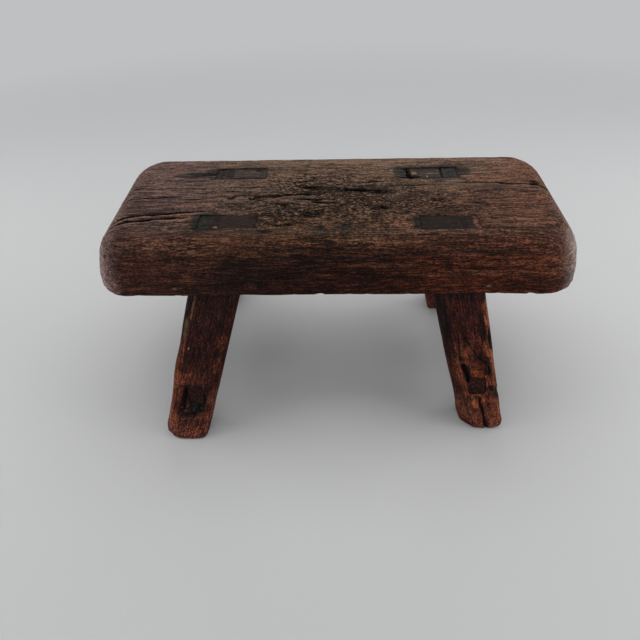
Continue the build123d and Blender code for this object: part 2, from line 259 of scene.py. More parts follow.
def read_points(mesh):
    """Places in millimetres and normals of a mesh's points"""
    places = np.empty(len(mesh.vertices) * 3)
    normals = np.empty(len(mesh.vertices) * 3)
    mesh.vertices.foreach_get("co", places)
    mesh.vertices.foreach_get("normal", normals)
    return places.reshape(-1, 3) / MM, normals.reshape(-1, 3)


def set_points(mesh, places, **marks):
    """Moves a mesh's points to places in millimetres and stores marks for its material"""
    mesh.vertices.foreach_set("co", (places * MM).ravel())
    for name, values in marks.items():
        if values.ndim == 1:
            mark = mesh.attributes.new(name, "FLOAT", "POINT")
            mark.data.foreach_set("value", values)
        else:
            mark = mesh.attributes.new(name, "FLOAT_VECTOR", "POINT")
            mark.data.foreach_set("vector", values.ravel())
    mesh.update()


seat = copy_in_cells("seat_plank", "seat", squeeze=(0.25, 1, 1), depth=7)
halve_cells(seat.data, lambda centre, normal: (
    normal.z > 0.2 or centre.y < fine_front or abs(centre.x) > fine_ends
))
places, normals = read_points(seat.data)
right, back, up = places.T
plan = places[:, :2]
facing = np.abs(normals)
above = smooth(*side_turns, up)
faces_up = smooth(0.25, 0.75, normals[:, 2]) * above
crest = smooth(0, 0.35, normals[:, 2]) * above
outside = smooth(-0.2, 0.1, facing[:, 1] + facing[:, 0] * 0.3 - 0.1)

# how broken the top is: most in the middle, little at its ends and its front and back edge
drift = noise_at(places, (60, 34, 60), seed=3.7)
broken = falling_off(plan, broken_middle, broken_reach, power=4)
broken = np.clip(broken * (0.9 + 0.7 * drift) + 0.1 + 0.12 * drift, 0.04, 1)

# the grain sways to the front and back
sway = 4 * noise_at(places, (85, 50, 50), seed=9.1) + 1.0 * noise_at(places, (20, 12, 12), seed=5.3)
flow = places + np.outer(sway, (0, 1, 0))
wobble = noise_at(places, (7, 3.5, 4), seed=4.4)

# the walls of the mortises sink with the top's edge round them and stay where they are
# below, so that each tenon sits tight
wall = (facing[:, 2] < 0.5) & (np.abs(plan) < joints_within).all(axis=1)
sink = np.clip(1 - (plank_top - up) / joint_depth, 0, 1)
faces_up[wall] = sink[wall]
crest[wall] = sink[wall]
outside[wall] = 0
flat = (up > plank_top - 0.6) & (np.abs(plan) < flat_within).all(axis=1)
push = normals.copy()
push[wall | flat] = (0, 0, 1)

# how deep the top has worn: furrows everywhere, and flakes broken out of the middle
furrow = noise_at(flow, (42, 3.4, 5), seed=1.3)
comb = noise_at(flow, (18, 1.9, 3), seed=8.8)
flake, flake_rim = flakes_at(flow, (10, 3.2, 7), seed=2.2)
crumb, crumb_rim = flakes_at(flow, (5.6, 2.2, 5), seed=6.4)
bend_wear = 1 - 0.45 * smooth(-58, -70, back) * smooth(30, -60, right)  # smoother at its left
depth = faces_up * bend_wear * (
    broken * (1.0 * np.clip(furrow - 0.05, 0, 1) + 0.8 * np.clip(comb, 0, 1))
    + broken * (1.2 * smooth(0.55, 1.0, flake) + 0.6 * (1 - smooth(0.0, 0.2, flake_rim)))
    + broken * (0.8 * smooth(0.4, 1.0, crumb) + 0.8 * (1 - smooth(0.0, 0.25, crumb_rim)))
    + (1 - broken) * (0.5 * np.clip(furrow, 0, 1) + 0.5 * np.clip(comb, 0, 1))
)
hollow = np.zeros(len(places))
lip_highlight = np.zeros(len(places))
for course, width, deep in plank_cracks:
    gap, side, share = along_course(plan + np.outer(sway, (0.35, 0)), course)
    taper = smooth(0, 0.1, share + 0.05) * smooth(0, 0.15, 1.02 - share)
    cut = deep * np.exp(-((gap / (width * (1 + 0.45 * wobble))) ** 2)) * taper * crest
    depth = np.maximum(depth, cut * 0.75) + cut * 0.25
    hollow = np.maximum(hollow, cut / 1.8)
    # a painted highlight along the lower lip of each deeper crack
    edge = np.exp(-((side + 2.3 * width) ** 2)) * taper * crest
    lip_highlight = np.maximum(lip_highlight, edge * smooth(1.2, 3.0, deep))
for *middle, half_length, half_width, deep in plank_hollows:
    reach = (((plan - middle) / (half_length, half_width)) ** 2).sum(axis=1)
    cut = deep * smooth(0, 1.2, 1.25 - reach * 1.3 - 1.1 * wobble - 0.5 * comb) * crest
    depth = np.maximum(depth, cut * 0.8) + cut * 0.15
    hollow = np.maximum(hollow, cut / 3.4)
hollow = np.clip(np.maximum(hollow, (depth - 1.2) / 2.2), 0, 1)

# the sides: hewn a little uneven, with shallow furrows along the grain and nicked edges
side_wave = noise_at(places, (60, 40, 22), seed=7.7) * 0.7 + noise_at(places, (26, 14, 5), seed=2.9) * 0.4
side_comb = np.clip(noise_at(flow, (34, 4, 2.2), seed=5.9), 0, 1) * 0.5
nicks = np.clip(noise_at(places, (9, 9, 9), seed=1.9) - 0.15, 0, 1) * 2.0 * smooth(144, 138, up)
depth += (1 - faces_up) * outside * (0.05 + side_wave + side_comb + nicks)
# chatter marks where a blade skipped near the right end of the front bend
marks = falling_off(plan, chatter_middle, chatter_reach, power=2) * chatter_depth
depth += marks * (1 + np.sin(right * 1.5 + back * 0.5)) * faces_up

# its lower edge is nearly sharp, its two front corners stand out most at the bottom, and
# the back rim of the top is a little proud
level = np.linalg.norm(normals[:, :2], axis=1)
depth -= lower_edge * smooth(0.25, 0.5, -normals[:, 2]) * smooth(0.25, 0.5, level) * (1 - wall)
depth -= back_rim * smooth(58, 76, back) * crest
corner = np.hypot(np.abs(right) - corner_place[0], back - corner_place[1])
proud = np.where(right < 0, left_corner, right_corner) * smooth(34, 12, corner)
depth -= proud * smooth(166, 142, up) * smooth(0.3, 0.7, level)
places -= push * np.clip(depth, -4, 5)[:, None]

# marks for its material, at the places where its points now lie
ragged = 0.7 * wobble + 0.35 * drift
stain = patches_at(places, oil_patches, ragged)
stain = np.maximum(stain, patches_at(places, [dark_strip], 0.1 * wobble))
for left_end, right_end, front_end, back_end, reach, strength in joint_dirt:
    aside = np.maximum(np.maximum(left_end - right, right - right_end), 0)
    beyond = np.maximum(np.maximum(front_end - back, back - back_end), 0)
    gap = np.hypot(aside, beyond) / reach + 0.7 * wobble
    stain = np.maximum(stain, strength * smooth(1.1, 0.1, gap) * crest)
gap, side, share = along_course(places[:, (0, 2)] + np.outer(sway, (0.3, 0)), front_streak)
streak = np.exp(-((gap / (1.7 + 0.8 * wobble)) ** 2)) * smooth(-0.1, -0.4, normals[:, 1])
stain = np.maximum(stain, 0.9 * streak * smooth(0, 0.08, share) * smooth(1, 0.85, share))
bare = patches_at(places, bare_patches, ragged)
# the worn mark holds pale worn patches and the painted highlights on the cracks' lips
worn = np.maximum(patches_at(places, worn_patches, ragged * 0.5), lip_highlight * (1 - hollow) * 0.65)
set_points(seat.data, places, hollow=hollow, stain=stain, bare=bare, worn=worn,
           broken=broken * faces_up)


def paint(red, green, blue):
    """Colour written as a screen shows it, from 0 to 255, in the linear values of a shader"""
    values = [value / 255 for value in (red, green, blue)]
    return tuple(v / 12.92 if v <= 0.04045 else ((v + 0.055) / 1.055) ** 2.4 for v in values) + (1,)


class Grain:
    """A value, colour or vector in a wood's material, so that patterns are written as sums"""

    def __init__(self, tree, socket=None):
        self.tree = tree
        self.socket = socket

    def node(self, kind, settings=None, sockets=None, output=0):
        """Adds a node with its settings, then the values or links of its sockets"""
        made = self.tree.nodes.new("ShaderNode" + kind)
        for name, setting in (settings or {}).items():
            if name == "stops":
                ramp = made.color_ramp.elements
                while len(ramp) < len(setting):
                    ramp.new(1)
                for stop, (position, colour) in zip(ramp, setting):
                    stop.position = position
                    stop.color = colour
            else:
                setattr(made, name, setting)
        for name, value in (sockets or {}).items():
            if isinstance(value, Grain):
                self.tree.links.new(value.socket, made.inputs[name])
            else:
                made.inputs[name].default_value = value
        return None if output is None else Grain(self.tree, made.outputs[output])

    def maths(self, operation, other, swapped=False):
        """This value and another in a Math node"""
        pair = (other, self) if swapped else (self, other)
        return self.node("Math", {"operation": operation}, dict(enumerate(pair)))

    def __add__(self, other):
        return self.maths("ADD", other)

    __radd__ = __add__

    def __sub__(self, other):
        return self.maths("SUBTRACT", other)

    def __rsub__(self, other):
        return self.maths("SUBTRACT", other, swapped=True)

    def __mul__(self, other):
        return self.maths("MULTIPLY", other)

    __rmul__ = __mul__

    def __abs__(self):
        return self.maths("ABSOLUTE", 0)

    def folded(self):
        """This value running up to a half and back again, which makes rings"""
        return self.maths("PINGPONG", 0.5)

    def swing(self, weight):
        """A noise from 0 to 1 that swings as far above 0 as below it"""
        return (self - 0.5) * weight

    def between(self, low, high):
        """0 where this value is low, 1 where it is high, smooth between"""
        limits = {"Value": self, "From Min": low, "From Max": high}
        return self.node("MapRange", {"interpolation_type": "SMOOTHSTEP"}, limits)

    def mark(self, name, output="Fac"):
        """Values that set_points stored under a name"""
        return self.node("Attribute", {"attribute_name": name}, {}, output)

    def place(self):
        """Place on the piece, in millimetres"""
        metres = self.node("TexCoord", {}, {}, "Object")
        return self.node("VectorMath", {"operation": "SCALE"}, {0: metres, "Scale": 1 / MM})

    def axis(self, name):
        """This place along one axis"""
        return self.node("SeparateXYZ", {}, {0: self}, name)

    def vector(self, operation, other):
        """This vector and another in a Vector Math node"""
        return self.node("VectorMath", {"operation": operation}, {0: self, 1: other})

    def length(self):
        return self.node("VectorMath", {"operation": "LENGTH"}, {0: self}, "Value")

    def patches(self, size, detail, rough=0.5, output=0):
        """Noise at this place, in patches of a size in millimetres along each axis"""
        spread = self.vector("MULTIPLY", tuple(1 / side for side in size))
        sockets = {"Vector": spread, "Scale": 1.0, "Detail": detail, "Roughness": rough}
        return self.node("TexNoise", {}, sockets, output)

    def cells(self, size, feature, output):
        """Broken cells at this place, of a size in millimetres along each axis"""
        spread = self.vector("MULTIPLY", tuple(1 / side for side in size))
        return self.node("TexVoronoi", {"feature": feature}, {"Vector": spread, "Scale": 1.0}, output)

    def moved(self, by, reach):
        """This place moved by a noise's colour, reach millimetres along each axis"""
        sockets = {0: by.vector("SUBTRACT", (0.5, 0.5, 0.5)), 1: reach, 2: self}
        return self.node("VectorMath", {"operation": "MULTIPLY_ADD"}, sockets)

    def coloured(self, stops, colours):
        """Colour ramp over this value: the stops' positions, and their colours from 0 to 255"""
        stops = [(position, paint(*colour)) for position, colour in zip(stops, colours)]
        return self.node("ValToRGB", {"stops": stops}, {"Fac": self})

    def shaded(self, *colours):
        """Colour of wood with this tone: its pores, its dark, middle and light grain"""
        return self.coloured((0.24, 0.42, 0.56, 0.82), colours)

    def mix(self, low, high):
        """Colour that is low where this value is 0 and high where it is 1"""
        settings = {"data_type": "RGBA", "blend_type": "MIX"}
        return self.node("Mix", settings, {0: self, 6: low, 7: high}, 2)


def new_material(name):
    """New material, and its starting point for patterns"""
    material = bpy.data.materials.new(name)
    material.use_nodes = True
    material.node_tree.nodes.clear()
    return material, Grain(material.node_tree)


def finish_wood(material, colour, rough, height, reach, coat=0.0):
    """Joins colour, roughness and relief, reach millimetres high, into a wood's surface"""
    relief = colour.node("Bump", {}, {"Height": height, "Distance": reach * MM, "Strength": 1.0})
    sockets = {"Base Color": colour, "Roughness": rough, "Normal": relief}
    sockets.update({"Specular IOR Level": 0.08, "Coat Weight": coat, "Coat Roughness": 0.3})
    surface = colour.node("BsdfPrincipled", {}, sockets)
    colour.node("OutputMaterial", {}, {"Surface": surface}, None)


def plank_wood():
    """Weathered plank: grey brown on top, lighter towards its back with painted sheen, golden at its
    front edge and orange at the right, dark red on its front face with painted shade in its middle,
    and rubbed pale over the growth rings at its ends, with painted sheen towards their front"""
    material, start = new_material("plank_wood")
    place = start.place()
    across, away, height = [place.axis(name) for name in "XYZ"]
    hollow, stain, bare, worn, broken = [
        start.mark(name) for name in ("hollow", "stain", "bare", "worn", "broken")
    ]

    # patterns that follow the grain, and loose ones
    flow = place.moved(place.patches((120, 70, 70), 2, output="Color"), (0, 22, 16))
    flow = flow.moved(place.patches((34, 14, 14), 1, output="Color"), (0, 2.4, 1.8))
    fibre = flow.patches((18, 1.3, 1.3), detail=4, rough=0.7)
    streak = flow.patches((60, 3.6, 3.6), detail=3, rough=0.6)
    band = flow.patches((170, 12, 12), detail=2)
    rings = (band * 9).folded()
    blotch = place.patches((46, 26, 26), detail=3, rough=0.6)
    mottle = place.patches((7, 4, 4), detail=4, rough=0.65)
    speck = place.patches((2.2, 1.1, 1.1), detail=2, rough=0.7)
    pore = flow.patches((7, 1.2, 1.2), detail=1).between(0.62, 0.74)
    chip = flow.patches((5, 1.1, 1.1), detail=2, rough=0.6).between(0.58, 0.74)
    split = abs(flow.patches((46, 5.2, 5.2), detail=3, rough=0.62) - 0.5)
    seam = split.between(0.035, 0.005) * blotch.between(0.42, 0.56)
    crumb_tone = flow.cells((6, 2.7, 3), "F1", "Color")
    crumb_gap = flow.cells((6, 2.7, 3), "DISTANCE_TO_EDGE", "Distance").between(0.2, 0.03) * broken

    tone = 0.5 + fibre.swing(1.3) + speck.swing(1.15 + broken * 1.5) + streak.swing(0.4)
    tone = tone + (rings - 0.25) * 0.15 + mottle.swing(0.4) + blotch.swing(0.2)
    # raised parts of the broken middle, away from its hollows, are made lighter: painted light on the
    # crumbs' tops
    tone = tone + crumb_tone.swing(broken) * 0.45 + (1 - hollow) * broken * 0.1

    # its top, lighter towards the back: paler wood there, and painted sheen
    rubbed_front = away.between(-52, -68) * (0.1 + across.between(10, -90) * 0.32)
    pale_wood_and_sheen = 0.24 - across.between(70, 150) * 0.05 + streak.swing(0.5)
    upper = 0.5 + tone.swing(1 - rubbed_front) + away.between(-60, 85) * pale_wood_and_sheen - 0.02
    grey = upper.shaded((18, 12, 9), (44, 31, 23), (70, 52, 40), (132, 104, 84))
    golden = upper.shaded((20, 12, 7), (48, 31, 20), (77, 52, 35), (140, 101, 70))
    left = upper.shaded((26, 16, 14), (50, 34, 30), (76, 54, 47), (130, 102, 92))
    drift = blotch.swing(110)
    colour = (away + mottle.swing(20)).between(-20, -58).mix(grey, golden)
    colour = (across + drift).between(-60, -140).mix(colour, left)
    colour = (across - away * 0.85 + drift).between(60, 150).mix(colour, upper.shaded(*orange_shades))

    # its front face, darker in the middle with painted shade, and redder to the right
    shaded = across.between(100, 20) * across.between(-120, -60)
    front_tone = tone * 0.74 - shaded * 0.12 + 0.15
    brown_face = front_tone.shaded((13, 7, 6), (41, 23, 19), (69, 39, 31), (126, 73, 52))
    red_face = front_tone.shaded((12, 6, 4), (42, 20, 14), (74, 36, 24), (142, 68, 38))
    face = across.between(-120, 30).mix(brown_face, red_face)
    colour = (height + blotch.swing(16) + band.swing(20)).between(190, 168).mix(colour, face)

    # its ends, rubbed pale, with the growth rings at their tips, and lighter still with painted sheen
    # towards the front, and on the right end higher up
    from_heart = flow.vector("SUBTRACT", heart_line).vector("MULTIPLY", (0, rings_per_mm, rings_per_mm))
    years = from_heart.length().folded()
    tip = abs(across).between(184, 197)
    calm = tone.swing(0.65 - tip * 0.25) + (years - 0.25) * tip * 0.42 + blotch.swing(tip) * 0.6 + 0.52
    rubbed_and_sheen_right = calm.shaded((52, 37, 30), (97, 74, 62), (137, 108, 93), (190, 158, 140))
    rubbed_and_sheen_left = calm.shaded((59, 44, 42), (107, 84, 80), (147, 119, 114), (196, 168, 160))
    front = away.between(10, -45)
    high = height.between(146, 162) * 0.75 + 0.25
    colour = (across.between(172, 197) * high * (0.4 + front * 0.45)).mix(colour, rubbed_and_sheen_right)
    colour = (across.between(-172, -196) * (0.5 + front * 0.45)).mix(colour, rubbed_and_sheen_left)

    # bare wood, chips, pores, seams, gaps between the crumbs darkened with dirt and painted shade, oil
    # or black dirt, wear and painted highlights on the cracks' lips, and cracks and hollows darkened
    # with dirt and painted shade
    bare_wood = tone.shaded((52, 28, 19), (88, 52, 36), (122, 78, 54), (176, 124, 90))
    colour = bare.mix(colour, bare_wood)
    colour = (chip * broken * 0.7).mix(colour, paint(*chip_colour))
    colour = (pore * (0.6 + broken * 0.4)).mix(colour, paint(18, 10, 8))
    colour = (seam * 0.75).mix(colour, paint(16, 9, 7))
    colour = (crumb_gap * 0.8).mix(colour, paint(18, 12, 9))
    filled = tone.shaded((9, 9, 8), (18, 17, 15), (29, 26, 23), (58, 50, 43))
    darkened = tone.shaded((8, 5, 4), (21, 13, 11), (35, 22, 18), (68, 42, 33))
    darkened = height.between(184, 174).mix(filled, darkened)
    colour = (stain * mottle.between(0.12, 0.5)).mix(colour, darkened)
    colour = (worn * mottle.between(0.3, 0.55)).mix(colour, paint(*worn_and_highlight_colour))
    # cracks, hollows and deep relief darkened with dirt and painted shade
    colour = (hollow.between(0.06, 0.75) * 0.94).mix(colour, paint(*crack_dirt_and_shade))

    rough = 0.66 + mottle.swing(0.3) + hollow * 0.2
    relief = fibre * 0.7 + speck * 0.5 + streak * 0.3 + mottle * 0.3 + crumb_tone * broken * 0.4
    relief = relief - crumb_gap * 0.5 - pore * 0.3 - seam * 0.6
    ends = (across.between(178, 194) + across.between(-186, -197) * 0.5) * mottle.between(0.2, 0.75)
    finish_wood(material, colour, rough, relief, 1.2, ends * front * height.between(185, 176) * 1.2)
    return material


seat.data.materials.append(plank_wood())
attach(seat, "root")
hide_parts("seat")

# Legs. Four hewn legs of a redder wood, each one stick with its tenon, which runs up
# through the seat. The front pair show their worn faces, the hole of the stretcher's
# tenon and, on the right one, a split that runs from that hole down to the foot.
leg_centres = {  # foot and top of each leg's centre line
    "front_left": ((-139.2, -104.5), (-86.4, -47.2)),
    "front_right": ((133.6, -92.3), (89.8, -51.4)),
    "back_left": ((-136.6, 104.6), (-84.6, 41)),
    "back_right": ((125, 90.1), (86.2, 38.3)),
}
leg_half = (21.75, 16)  # half a leg's width and half its thickness, at the floor
leg_taper = 1.75  # how much less half its width is at the top of the seat
foot_round = 8.0  # height of the worn rounding of a foot
foot_wear = 0.8  # how far it draws in at the floor
sole_edge = 1.0  # how proud the edge of a sole stands
corner_lift = 4.5  # how far the outer front corner of the right foot has worn up
long_edge = 3  # radius of a leg's long edges under the seat, and at the foot
foot_corner = {"front_left": 10, "front_right": 7, "back_left": 6, "back_right": 3}
# How high up a foot's cut edges have worn round, and how many times they are smoothed
foot_smooth = {
    "front_left": (17, 36), "front_right": (26, 40), "back_left": (12, 16), "back_right": (6, 6),
}

# What shows on the front faces of the front legs, in millimetres to the right of the
# centre line and up from the floor. Lines are split or scored: course, width and depth.
leg_cuts = {
    "front_left": [([(-11, 54), (-10.5, 40), (-11, 27)], 0.8, 1)],
    "front_right": [
        ([(-2, 95), (1, 88), (5, 79), (8, 75), (13, 70), (15, 66), (14, 59)], 1.3, 1.3),
        ([(-8, 90), (-8.5, 80), (-9.5, 70)], 0.8, 0.9),
        ([(3, 34), (2.5, 29), (3, 24), (4, 15), (4, 2)], 1.5, 2.2),
        ([(-6.6, 67), (-5.4, 60), (-3.8, 52)], 1.9, 2.8),
        ([(-5, 39), (2, 38.4), (9, 38.8)], 0.7, 0.8),
        ([(-14, 100), (-4, 100)], 0.7, 0.7),
        ([(19.5, 102), (19, 93), (19.5, 84)], 0.9, 1.6),
    ],
}
# Holes and notches: middle, half width, half height and depth
leg_holes = {
    "front_left": [(-7.6, 40, 2, 11.5, 2.2), (-1, 26.5, 7, 1.5, 1.3), (9.6, 44, 1.2, 8, 0.9)],
    "front_right": [(14, 45, 2.4, 2, 1.1), (19, 40, 1.8, 5, 1.3), (-16, 79, 2.6, 6, 0.7)],
}
# Tool marks beside the hole: middle, half width and height, depth, slant and closeness
tool_marks = {
    "front_left": [(12, 44, 6.5, 17, 0.35, 0.6, 1.9)],
    "front_right": [(-11, 37, 6, 10, 0.3, -0.35, 2.2)],
}
# Patches: middle, half width, half height and strength. Dark ones are dirt, and painted shade: the
# seat's shadow across the top of each front leg and a shaded strip down its left front edge. Warm
# ones are red wood, and painted highlights down the outer edge of each front leg. Pale ones are
# pale flecks, and a painted highlight line down the left leg's chamfer.
face_place, face_reach = -15, 11  # where they lie from front to back
dirt_and_shade_patches = {
    "front_left": [
        (-20, 116, 2.8, 24, 1), (0, 135, 26, 8, 0.7), (10, 105, 8, 14, 0.35), (14, 85, 8, 4, 0.45),
        (-17, 78, 3, 7, 0.5), (3, 68, 7, 4, 0.4), (-8, 40, 3.4, 14, 1), (-1, 27, 10, 3.6, 1),
        (9.8, 43, 2.6, 12, 0.8), (-5, 20, 7, 5, 0.45), (0, 118, 17, 18, 0.5), (-8, 93, 6, 8, 0.3),
        (-3, 32, 7, 6, 0.9), (2, 54, 9, 2, 0.6), (4, 80, 10, 5, 0.3), (-3, 62, 5, 3, 0.25),
    ],
    "front_right": [
        (-18, 116, 5, 25, 1), (-15.5, 87, 3.2, 11, 0.75), (-17, 76, 3.4, 7, 0.7), (0, 135, 26, 7, 0.7),
        (13, 110, 2.6, 13, 0.6), (19.5, 92, 2, 9, 0.9), (16, 99, 1.6, 6, 0.6), (-5.4, 60, 3.6, 8.5, 1),
        (14, 45, 3, 2.8, 0.9), (19, 40, 2.6, 6, 0.9), (-10, 25, 3, 4, 0.5), (-12, 44, 4, 4, 0.5),
        (-8, 33, 5, 2, 0.4), (4, 15, 2.6, 14, 0.5), (7, 76, 4, 4, 0.9), (14, 66, 4, 7, 0.8),
        (1.5, 48, 9, 10, 0.6), (5, 7, 3, 5, 0.8), (-2, 94, 9, 1.2, 0.5), (-8, 84, 2, 12, 0.5),
    ],
}
red_and_highlight_patches = {
    "front_left": [
        (-19, 58, 2.6, 42, 0.5), (15, 93, 3.5, 8, 0.3), (15, 73, 3, 8, 0.25), (-12, 61, 6, 7, 0.25),
        (14, 25, 9, 4, 0.35), (-14, 18, 5, 9, 0.35), (0, 10, 16, 5, 0.25), (-13, 45, 2.6, 8, 0.3),
    ],
    "front_right": [
        (19.5, 112, 2.4, 17, 1), (19.2, 62, 2.4, 18, 0.8), (-8.6, 52, 1.6, 14, 0.7),
        (-2, 29, 3.4, 4.6, 1), (7, 32, 3, 4, 0.6), (0, 12, 20, 9, 0.2), (15, 20, 6, 16, 0.35),
        (14, 53, 5, 5, 0.4), (-1, 72, 8, 12, 0.4), (5, 90, 7, 8, 0.25), (16, 84, 4, 8, 0.5),
        (2, 39.6, 8, 2.2, 1), (10.4, 52, 1.4, 6, 0.7), (-10, 70, 6, 22, 0.3), (12, 14, 8, 12, 0.35),
        (4, 33, 2.4, 4, 0.8),
    ],
}
pale_and_highlight_patches = {
    "front_left": [
        (-16, 124, 0.8, 13, 0.4), (-18.4, 106, 1.1, 10, 0.3), (-13.5, 89, 0.8, 0.9, 0.9),
        (-9, 33, 0.8, 0.8, 0.7), (-4, 35, 1, 1.4, 0.3), (6, 53, 1.6, 1.2, 0.3), (-5, 30, 3, 0.6, 0.25),
    ],
    "front_right": [
        (10.2, 52.5, 1, 5, 0.15), (2.4, 86, 0.7, 7, 0.2), (-6.4, 83, 0.6, 8, 0.12),
    ],
}
# What shows in the top ends of the legs' tenons: cuts, pale chips, dirt and the end's colour
end_cuts = {
    "front_left": [(-64.6, -39.5, 1.8, 2.2, 2.2), (-80, -58, 16, 0.9, 0.9)],
    "front_right": [(102, -51.4, 0.7, 12, 0.7), (88, -61.5, 20, 1, 1)],
    "back_left": [(-82, 31, 17, 1, 1.3), (-72, 49, 3, 2, 1.2)],
    "back_right": [
        (69.5, 32, 5, 3.2, 4), (66, 41, 2.6, 8, 3), (78, 45, 5, 1, 1), (97.6, 39, 0.8, 12, 1.5),
    ],
}
end_chips = {
    "front_left": [(-97, -55.5, 186, 1.6, 1.6, 3, 0.6)],
    "front_right": [],
    "back_left": [(-79, 45, 186, 8, 1.4, 3, 0.15)],
    "back_right": [
        (72.5, 39, 186, 2.4, 2.8, 3, 0.5), (83.6, 33, 186, 0.9, 2, 3, 0.9),
        (88, 38.6, 186, 8, 0.9, 3, 0.4), (67.4, 44.5, 183, 1.2, 1.2, 4, 1),
    ],
}
end_dirt = {
    "front_left": [(-97, -47, 186, 3, 12, 4, 0.7), (-67, -40, 186, 3, 2.4, 4, 0.8)],
    "front_right": [],
    "back_left": [
        (-80, 33, 186, 17, 2, 4, 0.9), (-97, 42, 186, 3, 10, 4, 0.8), (-70, 51, 186, 6, 1.6, 4, 0.6),
    ],
    "back_right": [
        (66.5, 42, 186, 3, 12, 4, 1), (71, 31, 186, 7, 3, 4, 1), (88, 48.6, 186, 20, 1.6, 4, 0.8),
        (84, 29.6, 186, 20, 1.6, 4, 0.6), (97, 38, 186, 1.2, 14, 4, 0.8),
    ],
}
end_colours = {
    "front_left": (42, 31, 28),
    "front_right": (35, 28, 24),
    "back_left": (60, 50, 46),
    "back_right": (54, 48, 44),
}
end_grain_from = 182  # height from which a tenon's end grain shows


def leg_wood(name, end_colour):
    """Red brown leg: straight grain along it, brighter towards the foot, dark end grain"""
    material, start = new_material(name)
    place = start.mark("along", "Vector")
    upright = place.axis("Z")
    hollow, dark_mark, warm_mark, pale_mark = [
        start.mark(mark) for mark in ("hollow", "dark", "warm", "pale")
    ]

    flow = place.moved(place.patches((30, 30, 90), 2, output="Color"), (16, 16, 0))
    flow = flow.moved(place.patches((9, 9, 20), 1, output="Color"), (2.2, 2.2, 0))
    fibre = flow.patches((1.6, 1.6, 18), detail=4, rough=0.68)
    band = flow.patches((6, 6, 70), detail=3, rough=0.55)
    rings = (band * 7).folded()
    mottle = place.patches((3.6, 3.6, 5), detail=4, rough=0.68)
    blotch = place.patches((16, 16, 26), detail=3, rough=0.6)
    speck = place.patches((1.1, 1.1, 1.6), detail=2, rough=0.7)
    pore = flow.patches((1.1, 1.1, 6), detail=1).between(0.64, 0.76)

    near_foot = upright.between(40, 15)
    tone = 0.5 + fibre.swing(1.0) + speck.swing(0.9 + near_foot * 0.7) + (rings - 0.25) * 0.15
    tone = tone + mottle.swing(0.55) + blotch.swing(0.25)
    dark = tone.shaded((12, 5, 4), (32, 14, 12), (53, 24, 19), (106, 50, 37))
    bright = tone.shaded((35, 16, 13), (68, 36, 28), (101, 56, 44), (158, 94, 72))
    red_and_highlight_colour = tone.shaded((66, 28, 17), (110, 52, 31), (144, 74, 44), (200, 122, 82))
    darkened = tone.shaded((8, 7, 7), (16, 12, 12), (26, 20, 18), (54, 40, 34))
    glow = upright.between(95, 0) * 0.6 + blotch.swing(0.9) + warm_mark * 0.7
    colour = glow.between(0.0, 1.0).mix(dark, bright)
    # the warm mark: red wood, and painted highlights down the outer edge of each front leg
    colour = (warm_mark * mottle.between(0.3, 0.55) * 0.75).mix(colour, red_and_highlight_colour)
    colour = (pore * 0.55).mix(colour, paint(14, 8, 7))
    end_shades = [[channel * light for channel in end_colour] for light in (0.5, 1, 1.5)]
    end_grain = (mottle.swing(0.9) + 0.5).coloured((0.2, 0.5, 0.8), end_shades)
    at_end = upright.between(end_grain_from, end_grain_from + 2.5)
    colour = at_end.mix(colour, end_grain)
    # the dark mark: oil and dirt, and painted shade: the seat's shadow over the top of each front leg and
    # a shaded strip down its left front edge
    colour = (dark_mark * 0.9 * mottle.between(0.2, 0.55)).mix(colour, darkened)
    # the pale mark: pale flecks and chips, and a painted highlight line down the left leg's chamfer
    colour = (pale_mark * mottle.between(0.3, 0.55) * 0.8).mix(colour, paint(166, 128, 100))
    # splits, holes and deep relief darkened with dirt and painted shade
    colour = (hollow.between(0.1, 1.0) * 0.9).mix(colour, paint(*crack_dirt_and_shade))

    rough = 0.64 + mottle.swing(0.3) + hollow * 0.2 + at_end * 0.2
    relief = fibre * 0.6 + speck * 0.5 + mottle * 0.5 - pore * 0.3
    finish_wood(material, colour, rough, relief, 0.9)
    return material


def wear_foot(mesh, height, times):
    """Wears the edges of a foot round, up to a height in millimetres"""
    shape = bmesh.new()
    shape.from_mesh(mesh)
    low = [point for point in shape.verts if point.co.z < height * MM]
    for _ in range(times):
        bmesh.ops.smooth_vert(
            shape, verts=low, factor=0.5, use_axis_x=True, use_axis_y=True, use_axis_z=True
        )
    shape.to_mesh(mesh)
    shape.free()


